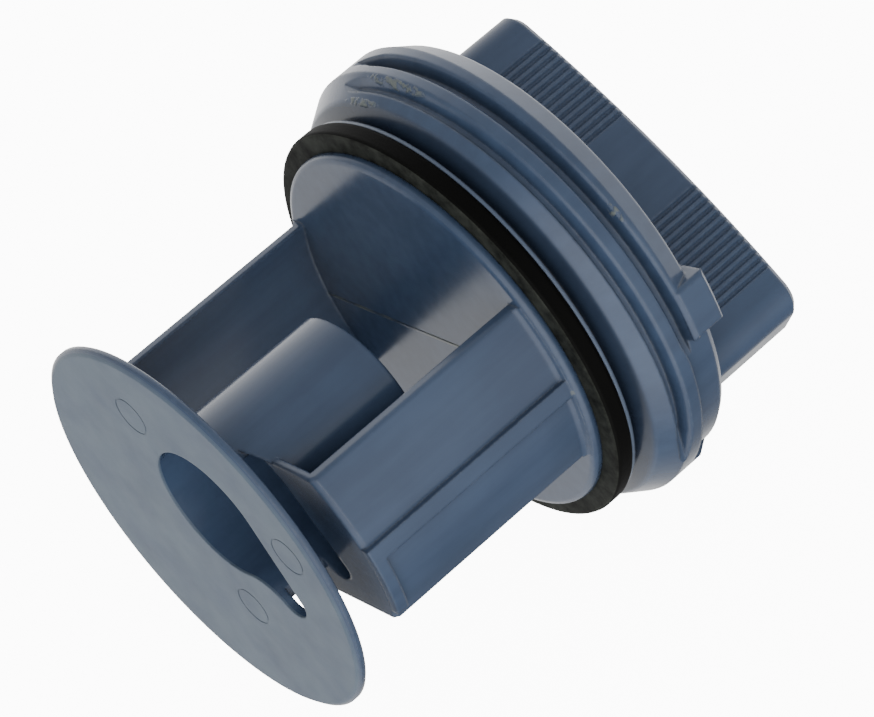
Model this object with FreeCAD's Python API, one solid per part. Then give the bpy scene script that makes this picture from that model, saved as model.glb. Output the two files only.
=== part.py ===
import FreeCAD, Part
import math
import os

# Drain pump filter of a washing machine: a one-piece moulding and its rubber sealing ring.
# Everything is modelled upright, with the axis along local z, and is laid down at the end:
# local x, y, z become the part's Y, Z, X. The axis then lies along +X, from the end disc to the
# grip, the lint cage is open towards +Z and -Z, and the origin is on the axis, in the middle of
# the sealing ring. While modelling, heights count from the shoulder that backs the ring. Sizes
# are in millimetres, angles in degrees from local x towards y.

# End disc with its keyhole mouth
disc_radius = 27.0
disc_centre = (0.3, 0.3)     # a little off the axis
disc_thickness = 1.25
disc_bevel_width = 0.7
disc_bevel_depth = 0.5
disc_back_bevel = 0.2
disc_to_shoulder = 43.3      # front face of the disc to the shoulder
mouth_radius = 9.3
mouth_centre = (-5.8, 5.3)
tip_radius = 2.6
tip_centre = (-14.9, -4.9)
flank_hollow_radius = 6.0    # hollow flank on the tube's underside
ejector_mark_radius = 2.7
ejector_mark_depth = 0.06
ejector_mark_line = 0.2
ejector_marks = ((2.0, 18.1), (-20.6, 4.3), (-3.0, -10.5))

# Tube behind the mouth
tube_wall = 1.2
tube_length = 23.4           # from the back of the disc
tube_edge_bevel = 0.25
window_side = -11.7          # between disc and end wall the tube is open on the right of this
window_lean = 35.0           # the upper edge of that opening, from the wall up towards the disc

# Lint cage, open above and below
cage_gap = 4.9               # from the back of the disc to the end wall, at the wall's top
wall_lean = 1.3              # how much further from the disc the wall stands at its foot
cage_radius = 25.4
cage_height = 23.0
cage_wall = 1.5
end_wall = 1.2
cage_edge_bevel = 0.3
wall_edge_bevel = 0.6
rib_width = 2.4
rib_height = 0.7
lip_width = 1.7
plate_cove = 0.7
seam_width = 0.25            # parting line across the plate, where the mould's cores met
seam_height = 0.06
seam_level = -0.7

# Front plate and seat of the ring
plate_radius = 26.6
plate_front_thickness = 1.4
plate_round = 0.7
seat_radius = 23.5
seat_width = 2.7
ring_radius = 29.25
ring_clearance = 0.05
ring_edge_round = 0.45

# Collar with thread grooves
shoulder_radius = 28.95
shoulder_width = 0.5
neck_radius = 27.2
neck_end = 1.3
collar_front_radius = 30.3
collar_front = 3.0           # where the front flank reaches the crest
collar_edge = 0.35
collar_radius = 32.2
collar_full = 6.0            # where the collar has grown to its full radius
back_taper_start = 11.2
back_radius = 30.3
collar_back = 14.2
back_round = 0.8
dish_radius = 27.4
dish_depth = 8.0
dish_round = 1.2
thread_pitch = 4.0
groove_depth = 1.8
groove_floor = 0.8
groove_mouth = 2.0
groove_flare = 0.25
groove_place = 5.2           # height of the first groove at groove_angle
groove_angle = 145.5
half_start = 76.5            # a half of the collar is grooved to full depth from here
half_sweep = 132.0
second_groove_sweep = 107.0  # the second groove ends at the land beside the lug
groove_runout = 12.0         # each end of a groove rises to the surface over this angle

# Stop lug and land at the back of the collar
lug_angle = 171.5
lug_sweep = 13.0
lug_rise = 0.3               # above the collar
lug_front = 10.5
lug_back = 15.4
lug_bevel = 0.5
land_front = 8.8
land_sweep = 47.5
land_drop = 1.2              # below the collar

# Grip bar
grip_turn = 44.5
grip_length = 52.2
grip_thickness = 11.0
grip_end_round = 3.4
grip_shift = 1.2             # along the bar, off the axis
grip_height = 31.3           # from the shoulder to the corners of the end
grip_crown = 1.2
grip_edge_bevel = 0.7
knurl_pitch = 1.1
knurl_mouth = 0.75
knurl_floor = 0.25
knurl_depth = 0.35
knurl_inner = 6.6            # where each ribbed field starts, from the middle of the bar
knurl_outer = 20.2

# Places worked out from the sizes above
disc_front = -disc_to_shoulder
disc_back = disc_front + disc_thickness
tube_end = disc_back + tube_length
wall_front = disc_back + cage_gap
wall_back = wall_front + end_wall
plate_back = -seat_width
plate_front = plate_back - plate_front_thickness
half_height = cage_height / 2
AXIS = FreeCAD.Vector(0, 0, 1)
ORIGIN = FreeCAD.Vector(0, 0, 0)
OVERLAP = 0.5                # how far pieces of the moulding reach into each other
NEAR = 1e-4                  # distance that counts as touching when edges are picked out
ROUND_FACETS = 2             # straight facets that stand for a turned rounding


def vector(x, y, z=0.0):
    return FreeCAD.Vector(x, y, z)


def polar(radius, angle, z=0.0):
    return vector(radius * math.cos(math.radians(angle)), radius * math.sin(math.radians(angle)), z)


def arc_points(centre, start, end):
    """Points of the short arc from start to end about a centre, all as (radius, height)."""
    size = math.dist(start, centre)
    first = math.atan2(start[1] - centre[1], start[0] - centre[0])
    turn = math.atan2(end[1] - centre[1], end[0] - centre[0]) - first
    turn = math.remainder(turn, math.tau)
    points = []
    for step in range(ROUND_FACETS + 1):
        angle = first + turn * step / ROUND_FACETS
        points.append((centre[0] + size * math.cos(angle), centre[1] + size * math.sin(angle)))
    return points


def rounded_corner(before, corner, after, rounding):
    """Points that replace a corner between its two neighbours by a rounding."""
    length_before = math.dist(before, corner)
    length_after = math.dist(after, corner)
    to_before = [(b - c) / length_before for b, c in zip(before, corner)]
    to_after = [(a - c) / length_after for a, c in zip(after, corner)]
    half_angle = math.acos(sum(b * a for b, a in zip(to_before, to_after))) / 2
    reach = rounding / math.tan(half_angle)
    inward = rounding / math.sin(half_angle) / (2 * math.cos(half_angle))
    start = [c + b * reach for c, b in zip(corner, to_before)]
    end = [c + a * reach for c, a in zip(corner, to_after)]
    centre = [c + (b + a) * inward for c, b, a in zip(corner, to_before, to_after)]
    return arc_points(centre, start, end)


def revolved(profile):
    """Solid of revolution from (radius, height) corners; a third value rounds that corner."""
    points = []
    for place, (radius, height, *rounding) in enumerate(profile):
        if rounding:
            before = profile[place - 1][:2]
            after = profile[(place + 1) % len(profile)][:2]
            points += rounded_corner(before, (radius, height), after, rounding[0])
        else:
            points.append((radius, height))
    corners = [vector(radius, 0, height) for radius, height in points]
    face = Part.Face(Part.makePolygon(corners + corners[:1]))
    return face.revolve(ORIGIN, AXIS, 360)


def sector(inner, outer, bottom, top, start, sweep):
    """Block of a ring between two radii, two heights and two angles."""
    corners = [(inner, bottom), (outer, bottom), (outer, top), (inner, top)]
    points = [polar(radius, start, height) for radius, height in corners]
    face = Part.Face(Part.makePolygon(points + points[:1]))
    return face.revolve(ORIGIN, AXIS, sweep)


def keyhole(growth, bottom, top):
    """Prism of the keyhole outline, grown by a wall: round end, tip, one straight and one hollow flank."""
    big = vector(*mouth_centre)
    small = vector(*tip_centre)
    big_radius = mouth_radius + growth
    small_radius = tip_radius + growth
    hollow_radius = flank_hollow_radius - growth
    reach = small - big
    along = reach / reach.Length
    across = vector(-along.y, along.x)

    # The straight flank touches both circles on the right of the way from mouth to tip
    cosine = (big_radius - small_radius) / reach.Length
    sine = math.sqrt(1 - cosine ** 2)
    straight = along * cosine - across * sine
    straight_big = big + straight * big_radius
    straight_small = small + straight * small_radius

    # The hollow flank is an arc that touches both circles from outside, on the left
    to_big = big_radius + hollow_radius
    to_small = small_radius + hollow_radius
    forward = (to_big ** 2 - to_small ** 2 + reach.Length ** 2) / (2 * reach.Length)
    hollow = big + along * forward + across * math.sqrt(to_big ** 2 - forward ** 2)
    hollow_big = big + (hollow - big) * (big_radius / to_big)
    hollow_small = small + (hollow - small) * (small_radius / to_small)
    middle = (hollow_big + hollow_small) / 2 - hollow
    hollow_middle = hollow + middle * (hollow_radius / middle.Length)

    edges = [
        Part.LineSegment(straight_big, straight_small).toShape(),
        Part.Arc(straight_small, small + along * small_radius, hollow_small).toShape(),
        Part.Arc(hollow_small, hollow_middle, hollow_big).toShape(),
        Part.Arc(hollow_big, big - along * big_radius, straight_big).toShape(),
    ]
    face = Part.Face(Part.Wire(edges))
    face.translate(vector(0, 0, bottom))
    return face.extrude(vector(0, 0, top - bottom))


def end_disc():
    """Thin disc with a bevelled front rim and the faint rings that ejector pins left on it."""
    disc = revolved([
        (0, disc_front),
        (disc_radius - disc_bevel_width, disc_front),
        (disc_radius, disc_front + disc_bevel_depth),
        (disc_radius, disc_back - disc_back_bevel),
        (disc_radius - disc_back_bevel, disc_back),
        (0, disc_back),
    ])
    disc.translate(vector(*disc_centre))
    for x, y in ejector_marks:
        start = vector(x, y, disc_front)
        mark = Part.makeCylinder(ejector_mark_radius, ejector_mark_depth, start)
        inner = Part.makeCylinder(ejector_mark_radius - ejector_mark_line, ejector_mark_depth, start)
        disc = disc.cut(mark.cut(inner))
    return disc


def leaned(y):
    """How far the end wall has moved back at a level of local y."""
    return wall_lean * (half_height - y) / cage_height


def tube():
    """Outer body of the keyhole tube, from inside the disc to its free end, with the window in its side."""
    body = keyhole(tube_wall, disc_back - OVERLAP, tube_end)
    end_edges = [edge for edge in body.Edges if edge.BoundBox.ZMin > tube_end - NEAR]
    body = body.makeChamfer(tube_edge_bevel, end_edges)

    rise = cage_gap / math.tan(math.radians(window_lean))
    corners = [
        vector(window_side, -disc_radius, disc_back),
        vector(window_side, -disc_radius, wall_front + leaned(-disc_radius)),
        vector(window_side, half_height, wall_front),
        vector(window_side, half_height + rise, disc_back),
    ]
    window = Part.Face(Part.makePolygon(corners + corners[:1])).extrude(vector(-disc_radius, 0))
    return body.cut(window)


def cage_slab(radius, bottom, top, low, high):
    """Cylinder cut to a strip between two levels of local y, with its front leaned like the end wall."""
    drum = Part.makeCylinder(radius, top - disc_front, vector(0, 0, disc_front))
    edge = -2 * radius
    corners = [
        vector(edge, low, bottom + leaned(low)),
        vector(edge, high, bottom + leaned(high)),
        vector(edge, high, top),
        vector(edge, low, top),
    ]
    strip = Part.Face(Part.makePolygon(corners + corners[:1])).extrude(vector(-2 * edge, 0))
    return drum.common(strip)


def lint_cage():
    """Two side walls and the end wall before the plate, with a rib and a lip on one side."""
    top = plate_front + OVERLAP
    outside = cage_slab(cage_radius, wall_front, top, -half_height, half_height)
    front_rim = [
        edge for edge in outside.Edges
        if edge.BoundBox.ZMax < wall_front + wall_lean + NEAR and edge.BoundBox.XLength < cage_radius
    ]
    outside = outside.makeChamfer(wall_edge_bevel, front_rim)
    inner_radius = cage_radius - cage_wall
    hollow = cage_slab(inner_radius, wall_back, top + OVERLAP, -cage_height, cage_height)
    shell = outside.cut(hollow)

    lips = []
    for edge in shell.Edges:
        box = edge.BoundBox
        level = max(abs(box.YMin), abs(box.YMax))
        if box.YLength < NEAR and level > half_height - NEAR and box.ZMin < plate_front - OVERLAP:
            lips.append(edge)
    shell = shell.makeChamfer(cage_edge_bevel, lips)

    rib = cage_slab(cage_radius + rib_height, wall_front, top, -rib_width / 2, rib_width / 2)
    lip = cage_slab(cage_radius + rib_height, wall_front, top, lip_width - half_height, 0)
    behind_lip = cage_slab(2 * cage_radius, wall_front + lip_width, top + OVERLAP, -cage_height, OVERLAP)
    outer_side = Part.makeBox(
        cage_radius, cage_height, top - wall_front,
        vector(-cage_radius - rib_height - cage_wall, -half_height, wall_front),
    )
    inner_drum = Part.makeCylinder(cage_radius - OVERLAP, top - wall_front, vector(0, 0, wall_front))
    details = rib.fuse(lip.cut(behind_lip)).common(outer_side).cut(inner_drum)

    seam = Part.makeBox(
        2 * inner_radius, seam_width, seam_height + OVERLAP,
        vector(-inner_radius, seam_level - seam_width / 2, plate_front - seam_height),
    )
    return shell.fuse([details, seam])


def cove():
    """Hollow fillet between the cage's sides and the plate."""
    inner = cage_radius - OVERLAP
    outer = cage_radius + plate_cove
    start = plate_front - plate_cove
    back = plate_front + OVERLAP
    hollow = arc_points((outer, start), (cage_radius, start), (outer, plate_front))
    ring = revolved(hollow + [(outer, back), (inner, back), (inner, start)])
    strip = Part.makeBox(
        4 * cage_radius, cage_height, 2 * plate_cove + OVERLAP,
        vector(-2 * cage_radius, -half_height, plate_front - 2 * plate_cove),
    )
    return ring.common(strip)


def collar_blank():
    """Turned form of the plate, the ring's seat, the shoulder, the collar and its dished back."""
    return revolved([
        (0, plate_front),
        (plate_radius, plate_front, plate_round),
        (plate_radius, plate_back),
        (seat_radius, plate_back),
        (seat_radius, 0),
        (shoulder_radius, 0),
        (shoulder_radius, shoulder_width),
        (neck_radius, shoulder_width),
        (neck_radius, neck_end),
        (collar_front_radius - collar_edge, collar_front - collar_edge),
        (collar_front_radius, collar_front),
        (collar_radius, collar_full),
        (collar_radius, back_taper_start),
        (back_radius, collar_back, back_round),
        (dish_radius, collar_back),
        (dish_radius, collar_back - dish_depth, dish_round),
        (0, collar_back - dish_depth),
    ])


def groove_section(angle, lift):
    """Outline of the thread groove at an angle along its helix, moved outward by a lift."""
    floor = collar_radius - groove_depth + lift
    mouth = collar_radius - groove_flare + lift
    outside = collar_radius + groove_flare + lift
    half_floor = groove_floor / 2
    half_mouth = groove_mouth / 2
    half_outside = half_mouth + 2 * groove_flare
    points = [
        vector(floor, 0, -half_floor),
        vector(mouth, 0, -half_mouth),
        vector(outside, 0, -half_outside),
        vector(outside, 0, half_outside),
        vector(mouth, 0, half_mouth),
        vector(floor, 0, half_floor),
    ]
    outline = Part.makePolygon(points + points[:1])
    outline.rotate(ORIGIN, AXIS, angle)
    outline.translate(vector(0, 0, thread_pitch * angle / 360))
    return outline


def thread_groove(start, sweep):
    """Cutters for one stretch of the right-hand thread groove and for its two run-outs."""
    spine = Part.makeHelix(thread_pitch, thread_pitch * sweep / 360, collar_radius)
    pipe = Part.BRepOffsetAPI.MakePipeShell(Part.Wire(spine.Edges))
    pipe.setBiNormalMode(AXIS)
    pipe.add(groove_section(0, 0))
    pipe.build()
    pipe.makeSolid()
    cutters = [pipe.shape()]
    clear = groove_depth + groove_flare
    for end, tip in ((0, -groove_runout), (sweep, sweep + groove_runout)):
        cutters.append(Part.makeLoft([groove_section(end, 0), groove_section(tip, clear)], True, True))
    height = groove_place + thread_pitch * (start - groove_angle) / 360
    for cutter in cutters:
        cutter.rotate(ORIGIN, AXIS, start)
        cutter.translate(vector(0, 0, height))
    return cutters


def collar():
    """Collar with its thread grooves, and the lug and land at its back."""
    solid = collar_blank()
    turn = 360
    half = turn / 2
    solid = solid.cut(thread_groove(half_start, half_sweep))
    solid = solid.cut(thread_groove(half_start + half, half_sweep))
    solid = solid.cut(thread_groove(half_start + turn, second_groove_sweep))

    land_radius = collar_radius - land_drop
    land_end = collar_back + OVERLAP
    land_start = lug_angle + lug_sweep
    solid = solid.cut(sector(land_radius, 2 * collar_radius, land_front, land_end, land_start, land_sweep))

    lug_radius = collar_radius + lug_rise
    lug = sector(dish_radius + OVERLAP, lug_radius, lug_front, lug_back, lug_angle, lug_sweep)
    outer_edges = [
        edge for edge in lug.Edges
        if min(math.hypot(vertex.X, vertex.Y) for vertex in edge.Vertexes) > lug_radius - NEAR
    ]
    lug = lug.makeChamfer(lug_bevel, outer_edges)
    return solid.fuse(lug)


def grip():
    """Bar across the back: rounded ends, a crowned end face and two ribbed fields on each flat."""
    bottom = collar_back - dish_depth - OVERLAP
    half_length = grip_length / 2
    half_thickness = grip_thickness / 2
    top = grip_height + grip_crown
    side = [
        Part.makePolygon([
            vector(half_length, 0, grip_height),
            vector(half_length, 0, bottom),
            vector(-half_length, 0, bottom),
            vector(-half_length, 0, grip_height),
        ]),
        Part.Arc(
            vector(-half_length, 0, grip_height),
            vector(0, 0, top),
            vector(half_length, 0, grip_height),
        ).toShape(),
    ]
    face = Part.Face(Part.Wire(side[0].Edges + [side[1]]))
    face.translate(vector(0, -half_thickness, 0))
    bar = face.extrude(vector(0, grip_thickness, 0))
    ends = [
        edge for edge in bar.Edges
        if abs(abs(edge.CenterOfMass.x) - half_length) < NEAR and edge.BoundBox.ZLength > grip_crown
    ]
    bar = bar.makeFillet(grip_end_round, ends)
    rim = [edge for edge in bar.Edges if edge.BoundBox.ZMin > grip_height - grip_crown]
    bar = bar.makeChamfer(grip_edge_bevel, rim)

    count = int((knurl_outer - knurl_inner) / knurl_pitch) + 1
    floor = half_thickness - knurl_depth
    spread = (knurl_mouth - knurl_floor) / 2
    corners = [
        vector(-knurl_floor / 2, floor, collar_back),
        vector(-knurl_mouth / 2 - spread, half_thickness + knurl_depth, collar_back),
        vector(knurl_mouth / 2 + spread, half_thickness + knurl_depth, collar_back),
        vector(knurl_floor / 2, floor, collar_back),
    ]
    groove = Part.Face(Part.makePolygon(corners + corners[:1])).extrude(AXIS * top)
    grooves = []
    for number in range(count):
        offset = knurl_inner + number * knurl_pitch
        for x in (offset, -offset):
            cutter = groove.copy()
            cutter.translate(vector(x, 0))
            opposite = cutter.copy()
            opposite.rotate(ORIGIN, AXIS, 180)
            grooves += [cutter, opposite]
    bar = bar.cut(grooves)
    bar.translate(vector(-grip_shift, 0))
    bar.rotate(ORIGIN, AXIS, grip_turn)
    return bar


def filter_body():
    """The whole moulding as one solid."""
    body = end_disc().fuse([tube(), lint_cage(), cove(), collar(), grip()])
    return body.cut(keyhole(0.0, disc_front - OVERLAP, tube_end + OVERLAP))


def sealing_ring():
    """Rubber ring in the groove between the plate and the shoulder."""
    front = plate_back + ring_clearance
    back = -ring_clearance
    inner = seat_radius + ring_clearance
    return revolved([
        (inner, front),
        (ring_radius, front, ring_edge_round),
        (ring_radius, back, ring_edge_round),
        (inner, back),
    ])


def main():
    os.makedirs("parts", exist_ok=True)
    for name, shape in (("filter_body", filter_body()), ("sealing_ring", sealing_ring())):
        laid = shape.copy()
        laid.translate(AXIS * (seat_width / 2))
        laid.rotate(ORIGIN, vector(1, 1, 1), 120)
        print(name, "solids", len(laid.Solids), "valid", laid.isValid(), "volume", round(laid.Volume, 1))
        laid.exportStep("parts/%s.step" % name)


main()
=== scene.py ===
import math

import bpy
from mathutils import Euler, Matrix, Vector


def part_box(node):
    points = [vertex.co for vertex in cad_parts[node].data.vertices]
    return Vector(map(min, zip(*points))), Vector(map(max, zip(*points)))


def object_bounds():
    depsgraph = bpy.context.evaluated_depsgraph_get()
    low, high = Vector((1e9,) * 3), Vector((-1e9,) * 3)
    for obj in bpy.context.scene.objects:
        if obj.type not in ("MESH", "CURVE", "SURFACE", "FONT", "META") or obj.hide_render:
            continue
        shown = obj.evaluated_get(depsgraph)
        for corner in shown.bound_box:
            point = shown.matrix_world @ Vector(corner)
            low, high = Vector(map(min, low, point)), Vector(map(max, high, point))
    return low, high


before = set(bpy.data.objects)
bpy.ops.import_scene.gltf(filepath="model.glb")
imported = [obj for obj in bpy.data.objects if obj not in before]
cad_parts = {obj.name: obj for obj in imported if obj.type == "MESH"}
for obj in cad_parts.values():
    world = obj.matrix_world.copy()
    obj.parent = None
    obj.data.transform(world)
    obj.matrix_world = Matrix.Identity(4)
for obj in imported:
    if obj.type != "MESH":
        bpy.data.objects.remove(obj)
cad_box = [list(corner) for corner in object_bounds()]

# The photograph's camera, in the part's frame: metres, degrees, and the lens for a 36 mm sensor
CAMERA_PLACE = (-0.19007, -0.40399, 0.27773)
CAMERA_TURN = (54.792, 22.352, -39.711)
CAMERA_LENS = 177.1
SENSOR_WIDTH = 36.0
CLIP_START = 0.01

# Colours, linear
PLASTIC_DEEP = (0.040, 0.063, 0.114, 1.0)
PLASTIC_LIT = (0.053, 0.083, 0.147, 1.0)
# Painted shade: laid in the groove behind the ring and in crevices and corners, where shade falls
PLASTIC_SHADE = (0.010, 0.014, 0.024, 1.0)
# Pale plastic: real wear on edges, and painted highlights on edges and on the step behind the ring
PLASTIC_WEAR_AND_HIGHLIGHT = (0.110, 0.145, 0.205, 1.0)
PLASTIC_FILM = (0.110, 0.155, 0.195, 1.0)
RUBBER_BLACK = (0.002, 0.002, 0.0018, 1.0)
RUBBER_DUST = (0.045, 0.049, 0.042, 1.0)
# Pale: the moulding flash's own colour, and the painted highlight along the parting line
PALE_FLASH_AND_HIGHLIGHT = (0.14, 0.16, 0.155, 1.0)
FLOOR_COLOUR = (0.92, 0.92, 0.92, 1.0)
TENT_WHITE = (1.0, 1.0, 1.0, 1.0)

# How much of its colour each layer lays over the plastic or the rubber
FILM_SHARE = 0.75
EDGE_WEAR_AND_HIGHLIGHT_SHARE = 0.7
SHOULDER_HIGHLIGHT_SHARE = 0.6
NECK_SHADE_SHARE = 0.65
CREVICE_SHADE_SHARE = 0.75
DUST_SHARE = 0.9

# Noise: scales per metre, and stretches along X, Y and Z
CLOUD_SCALE = 70.0
SEAM_SCALE = 120.0
FILM_SCALE = 160.0
DUST_SCALE = 320.0
GLOSS_SCALE = 350.0
WEAR_SCALE = 900.0
FLASH_SCALE = 1100.0
GRAIN_SCALE = 2600.0
STREAK_STRETCH = (60.0, 500.0, 500.0)
SCRATCH_STRETCH = (300.0, 4000.0, 700.0)
SCUFF_STRETCH = (2500.0, 900.0, 900.0)
CLOUD_WEIGHT = 0.6
STREAK_WEIGHT = 0.4

# Ramps: where a mask starts and where it is full
EDGE_LEAN = (0.02, 0.25)
FLASH_RAGGED = (0.46, 0.62)
FLASH_FADE = (0.6, 1.1)
TONE_RANGE = (0.3, 0.7)
FILM_RANGE = (-0.1, 0.8)
WEAR_RANGE = (0.35, 0.7)
CREVICE_SHADE_RANGE = (0.05, 0.7)
SEAM_RANGE = (0.35, 0.6)
SCRATCH_RANGE = (0.68, 0.74)
DUST_RANGE = (0.2, 0.75)
WALL_FACING = (0.7, 0.95)
RING_FACING = (0.3, 0.9)

# Places and widths along the axis and across it, metres
WALL_FRONT = -0.0359         # the cage's end wall
WALL_DEPTH = 0.0016          # its front face leans over this much of the axis
WALL_BLUR = 0.0002
PLATE_FRONT = -0.00275       # the plate behind the cage
PLATE_REACH = 0.0002
SEAM_LEVEL = -0.0007         # the parting line across the plate, where a highlight is painted
SEAM_REACH = 0.0003
FINE_BLUR = 0.0001
FILM_FULL = 0.0001           # the film is full to this depth behind the disc's front
FILM_END = 0.0004
SHOULDER_HIGHLIGHT_END = 0.0006        # painted highlight on the step just behind the ring ends this far behind it
NECK_SHADE_END = 0.0027           # painted shade in the groove behind the ring ends this far behind it
NECK_SHADE_BLUR = 0.0003
PLASTIC_EDGE = 0.0005        # radius that the edges seem to have
RUBBER_EDGE = 0.0004
# How far the painted shade in crevices looks for nearby surfaces
CREVICE_SHADE_REACH = 0.009
RAY_SAMPLES = 4

# Ragged moulding flash on the thread: middle and half size of each patch, metres
FLASH = (
    ((0.0069, 0.0000, 0.0316), (0.0005, 0.0065, 0.0012)),
    ((0.0042, 0.0055, 0.0297), (0.0004, 0.0050, 0.0012)),
    ((0.0117, -0.0277, 0.0161), (0.0005, 0.0014, 0.0016)),
)

# Bumps: strength, and distance in metres
GRAIN_BUMP = (0.03, 0.0001)
SCRATCH_BUMP = (0.04, 0.0001)
FLASH_BUMP = (0.6, 0.0002)
SCUFF_BUMP = (0.25, 0.0001)

# Roughness and specular level
PLASTIC_ROUGH = 0.14
PLASTIC_UNEVEN = 0.14        # the noise adds up to this
FILM_ROUGH = 0.25            # the disc's film adds this
FLASH_ROUGH = 0.4            # the flash adds this
PLASTIC_SHEEN = 0.5
WALL_SHEEN = -0.42           # what the end wall's front adds to the sheen
RUBBER_ROUGH = 0.6
RUBBER_SHEEN = 0.06
FLOOR_ROUGH = 0.9
REFRACTION = 1.5

# The floor is a lit white sheet
FLOOR_SIZE = 5.0
FLOOR_GLOW = 12.0

# The light tent: strength below, what it gains above, and the heights where that starts and ends
TENT_BELOW = 0.28
TENT_GAIN = 0.28
TENT_HEIGHTS = (-0.4, 0.4)
# Bright patches of the tent: the way from the part, the cosine where the patch starts, the power
TENT_PATCHES = (
    ((-0.54, -0.81, -0.22), 0.3, 1.75),  # large soft lamp on the near side
    ((-0.36, 0.77, -0.53), 0.55, 0.8),   # white sheet that the disc and the plate mirror
    ((0.80, 0.60, 0.00), 0.3, 1.3),      # fill that lights the far side
)
PATCH_FULL = 0.95            # the cosine where a patch has its whole power

# Sockets of a colour mix node
MIX_SHARE = 0
MIX_FIRST = 6
MIX_SECOND = 7
MIX_RESULT = 2

disc_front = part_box("filter_body")[0][0]
ring_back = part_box("sealing_ring")[1][0]
floor_level = cad_box[0][2]


class Graph:
    """Short way to add and join the nodes of one node tree."""

    def __init__(self, tree):
        self.tree = tree
        tree.nodes.clear()

    def add(self, kind, inputs=None, **settings):
        """A node with its settings; an input is a value or another node's output."""
        node = self.tree.nodes.new(kind)
        for name, value in settings.items():
            setattr(node, name, value)
        for name, value in (inputs or {}).items():
            if isinstance(value, bpy.types.NodeSocket):
                self.tree.links.new(value, node.inputs[name])
            else:
                node.inputs[name].default_value = value
        return node

    def math(self, operation, *values, clamp=False):
        inputs = dict(enumerate(values))
        return self.add("ShaderNodeMath", inputs, operation=operation, use_clamp=clamp).outputs[0]

    def vector_math(self, operation, *values):
        """The number that a vector operation gives."""
        inputs = dict(enumerate(values))
        return self.add("ShaderNodeVectorMath", inputs, operation=operation).outputs["Value"]

    def times(self, first, second):
        return self.math("MULTIPLY", first, second)

    def rest(self, value):
        """What is left of 1."""
        return self.math("SUBTRACT", 1.0, value)

    def split(self, vector):
        return self.add("ShaderNodeSeparateXYZ", {0: vector}).outputs

    def noise(self, place, scale, detail=3.0, roughness=0.5):
        inputs = {"Vector": place, "Scale": scale, "Detail": detail, "Roughness": roughness}
        return self.add("ShaderNodeTexNoise", inputs).outputs["Fac"]

    def stretched_noise(self, place, stretch, detail):
        """Noise whose scale per metre differs along X, Y and Z."""
        moved = self.add("ShaderNodeMapping", {"Vector": place, "Scale": stretch})
        return self.noise(moved.outputs["Vector"], 1.0, detail=detail)

    def ramp(self, value, low, high):
        """0 below low, 1 above high, smooth in between."""
        inputs = {"Value": value, "From Min": low, "From Max": high}
        node = self.add("ShaderNodeMapRange", inputs, interpolation_type="SMOOTHSTEP")
        return node.outputs["Result"]

    def band(self, value, low, high, blur):
        """1 between two places along a value, 0 outside, with blurred ends."""
        after = self.ramp(value, low - blur, low + blur)
        before = self.rest(self.ramp(value, high - blur, high + blur))
        return self.times(after, before)

    def mix(self, share, first, second):
        inputs = {MIX_SHARE: share, MIX_FIRST: first, MIX_SECOND: second}
        return self.add("ShaderNodeMix", inputs, data_type="RGBA").outputs[MIX_RESULT]

    def rounded(self, radius):
        """The normal, as if the edges were rounded."""
        return self.add("ShaderNodeBevel", {"Radius": radius}, samples=RAY_SAMPLES).outputs["Normal"]

    def true_normal(self):
        return self.add("ShaderNodeNewGeometry").outputs["Normal"]

    def facing_front(self, low, high):
        """1 where the surface looks along -X, towards the end disc's side."""
        return self.ramp(self.times(self.split(self.true_normal())["X"], -1.0), low, high)

    def bump(self, height, size, normal):
        strength, distance = size
        inputs = {"Height": height, "Strength": strength, "Distance": distance, "Normal": normal}
        return self.add("ShaderNodeBump", inputs).outputs["Normal"]

    def surface(self, inputs):
        shader = self.add("ShaderNodeBsdfPrincipled", inputs)
        self.add("ShaderNodeOutputMaterial", {"Surface": shader.outputs["BSDF"]})


def new_material(name):
    material = bpy.data.materials.new(name)
    material.use_nodes = True
    return material, Graph(material.node_tree)


def edge_mask(graph, radius):
    """1 along edges, 0 on flats: how far a rounded normal leans from the true one."""
    lean = graph.vector_math("DOT_PRODUCT", graph.rounded(radius), graph.true_normal())
    return graph.ramp(graph.rest(lean), *EDGE_LEAN)


def flash_mask(graph, place):
    """1 on the ragged bits of flash, 0 elsewhere."""
    ragged = graph.ramp(graph.noise(place, FLASH_SCALE, detail=6.0), *FLASH_RAGGED)
    total = 0.0
    for middle, reach in FLASH:
        scale = [1 / size for size in reach]
        shift = [-spot * size for spot, size in zip(middle, scale)]
        moved = graph.add("ShaderNodeMapping", {"Vector": place, "Location": shift, "Scale": scale})
        away = graph.vector_math("LENGTH", moved.outputs["Vector"])
        inside = graph.rest(graph.ramp(away, *FLASH_FADE))
        total = graph.math("ADD", total, graph.times(inside, ragged), clamp=True)
    return total


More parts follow.
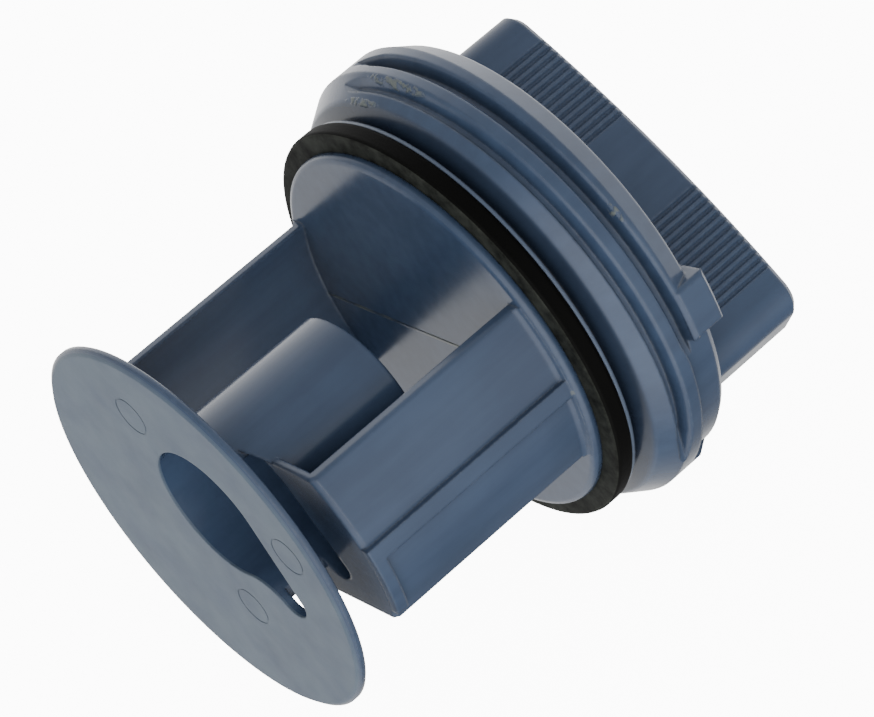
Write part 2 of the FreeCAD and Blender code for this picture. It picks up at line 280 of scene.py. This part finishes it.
def plastic_colour(graph, place, on_disc, flash):
    """Flow streaks, then film, edge wear with painted edge highlights, a painted highlight on the step
    behind the ring, painted shade in the groove behind the ring and in crevices, a painted highlight
    along the parting line, and the flash.
    """
    parts = graph.split(place)
    along = parts["X"]
    clouds = graph.noise(place, CLOUD_SCALE, detail=4.0)
    streaks = graph.stretched_noise(place, STREAK_STRETCH, detail=4.0)
    tone = graph.math("ADD", graph.times(clouds, CLOUD_WEIGHT), graph.times(streaks, STREAK_WEIGHT))
    colour = graph.mix(graph.ramp(tone, *TONE_RANGE), PLASTIC_DEEP, PLASTIC_LIT)

    film = graph.times(on_disc, graph.ramp(graph.noise(place, FILM_SCALE, detail=6.0), *FILM_RANGE))
    worn = graph.ramp(graph.noise(place, WEAR_SCALE), *WEAR_RANGE)
    # Edges paler: partly real wear, partly painted highlight where rounded edges catch the light
    worn_and_highlit_edges = graph.times(edge_mask(graph, PLASTIC_EDGE), worn)
    # Painted highlight: a pale line on the step just behind the ring
    shoulder_highlight = graph.band(along, ring_back, ring_back + SHOULDER_HIGHLIGHT_END, FINE_BLUR)
    # Painted shade in the groove behind the ring
    neck_shade = graph.band(along, ring_back + SHOULDER_HIGHLIGHT_END, ring_back + NECK_SHADE_END, NECK_SHADE_BLUR)
    # Painted shade in crevices and corners, darker where the occlusion finds surfaces close by
    occlusion = graph.add("ShaderNodeAmbientOcclusion", {"Distance": CREVICE_SHADE_REACH}, samples=RAY_SAMPLES)
    crevice_shade = graph.rest(graph.ramp(occlusion.outputs["AO"], *CREVICE_SHADE_RANGE))
    for mask, share, over in (
        (film, FILM_SHARE, PLASTIC_FILM),
        (worn_and_highlit_edges, EDGE_WEAR_AND_HIGHLIGHT_SHARE, PLASTIC_WEAR_AND_HIGHLIGHT),
        (shoulder_highlight, SHOULDER_HIGHLIGHT_SHARE, PLASTIC_WEAR_AND_HIGHLIGHT),
        (neck_shade, NECK_SHADE_SHARE, PLASTIC_SHADE),
        (crevice_shade, CREVICE_SHADE_SHARE, PLASTIC_SHADE),
    ):
        colour = graph.mix(graph.times(mask, share), colour, over)

    # Painted highlight: a pale broken line along the parting line across the plate
    on_plate = graph.band(along, PLATE_FRONT - PLATE_REACH, PLATE_FRONT + PLATE_REACH, FINE_BLUR)
    on_line = graph.band(parts["Z"], SEAM_LEVEL - SEAM_REACH, SEAM_LEVEL + SEAM_REACH, FINE_BLUR)
    broken = graph.ramp(graph.noise(place, SEAM_SCALE), *SEAM_RANGE)
    colour = graph.mix(graph.times(graph.times(on_plate, on_line), broken), colour, PALE_FLASH_AND_HIGHLIGHT)
    return graph.mix(flash, colour, PALE_FLASH_AND_HIGHLIGHT)


def plastic():
    """Satin blue-grey moulding with a dull film on the end disc, flash and fine scratches."""
    material, graph = new_material("moulded_plastic")
    place = graph.add("ShaderNodeTexCoord").outputs["Object"]
    along = graph.split(place)["X"]
    on_disc = graph.rest(graph.ramp(along, disc_front + FILM_FULL, disc_front + FILM_END))
    flash = flash_mask(graph, place)
    colour = plastic_colour(graph, place, on_disc, flash)

    uneven = graph.noise(place, GLOSS_SCALE, detail=5.0)
    rough = graph.math("MULTIPLY_ADD", uneven, PLASTIC_UNEVEN, PLASTIC_ROUGH)
    rough = graph.math("ADD", rough, graph.times(on_disc, FILM_ROUGH))
    rough = graph.math("MULTIPLY_ADD", flash, FLASH_ROUGH, rough)

    at_wall = graph.band(along, WALL_FRONT, WALL_FRONT + WALL_DEPTH, WALL_BLUR)
    on_wall = graph.times(graph.facing_front(*WALL_FACING), at_wall)
    sheen = graph.math("MULTIPLY_ADD", on_wall, WALL_SHEEN, PLASTIC_SHEEN)

    grain = graph.noise(place, GRAIN_SCALE, detail=2.0)
    lines = graph.stretched_noise(place, SCRATCH_STRETCH, detail=2.0)
    scratches = graph.ramp(lines, *SCRATCH_RANGE)
    normal = graph.bump(grain, GRAIN_BUMP, graph.rounded(PLASTIC_EDGE))
    normal = graph.bump(scratches, SCRATCH_BUMP, normal)
    normal = graph.bump(flash, FLASH_BUMP, normal)

    graph.surface({
        "Base Color": colour,
        "Roughness": rough,
        "Normal": normal,
        "IOR": REFRACTION,
        "Specular IOR Level": sheen,
    })
    return material


def rubber():
    """Dull black rubber with a dusty, scuffed front face."""
    material, graph = new_material("scuffed_rubber")
    place = graph.add("ShaderNodeTexCoord").outputs["Object"]
    dust = graph.ramp(graph.noise(place, DUST_SCALE, detail=7.0, roughness=0.65), *DUST_RANGE)
    dusty = graph.times(graph.facing_front(*RING_FACING), dust)
    scuffs = graph.stretched_noise(place, SCUFF_STRETCH, detail=4.0)
    graph.surface({
        "Base Color": graph.mix(graph.times(dusty, DUST_SHARE), RUBBER_BLACK, RUBBER_DUST),
        "Roughness": RUBBER_ROUGH,
        "Normal": graph.bump(scuffs, SCUFF_BUMP, graph.rounded(RUBBER_EDGE)),
        "IOR": REFRACTION,
        "Specular IOR Level": RUBBER_SHEEN,
    })
    return material


def dress(node, material):
    """Give a CAD node a material in place of its own."""
    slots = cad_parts[node].data.materials
    slots.clear()
    slots.append(material)


def floor():
    """A glowing white sheet under the part, which neither lights it nor shows in its gloss."""
    bpy.ops.mesh.primitive_plane_add(size=FLOOR_SIZE, location=(0, 0, floor_level))
    plane = bpy.context.object
    plane.name = "floor"
    material, graph = new_material("pale_floor")
    graph.surface({
        "Base Color": FLOOR_COLOUR,
        "Roughness": FLOOR_ROUGH,
        "Emission Color": FLOOR_COLOUR,
        "Emission Strength": FLOOR_GLOW,
    })
    plane.data.materials.append(material)
    plane.visible_diffuse = False
    plane.visible_glossy = False


def tent():
    """Soft white tent, paler above than below, with its bright patches."""
    world = bpy.data.worlds.new("light_tent")
    world.use_nodes = True
    graph = Graph(world.node_tree)
    way = graph.add("ShaderNodeTexCoord").outputs["Generated"]
    above = graph.ramp(graph.split(way)["Z"], *TENT_HEIGHTS)
    strength = graph.math("MULTIPLY_ADD", above, TENT_GAIN, TENT_BELOW)
    for toward, start, power in TENT_PATCHES:
        cosine = graph.vector_math("DOT_PRODUCT", way, toward)
        strength = graph.math("MULTIPLY_ADD", graph.ramp(cosine, start, PATCH_FULL), power, strength)
    background = graph.add("ShaderNodeBackground", {"Color": TENT_WHITE, "Strength": strength})
    graph.add("ShaderNodeOutputWorld", {"Surface": background.outputs[0]})
    bpy.context.scene.world = world


def camera():
    """The photograph's camera."""
    data = bpy.data.cameras.new("photo_camera")
    data.lens = CAMERA_LENS
    data.sensor_width = SENSOR_WIDTH
    data.sensor_fit = "HORIZONTAL"
    data.clip_start = CLIP_START
    made = bpy.data.objects.new("photo_camera", data)
    made.location = CAMERA_PLACE
    made.rotation_euler = Euler([math.radians(angle) for angle in CAMERA_TURN])
    bpy.context.collection.objects.link(made)
    bpy.context.scene.camera = made


dress("filter_body", plastic())
dress("sealing_ring", rubber())
floor()
tent()
camera()
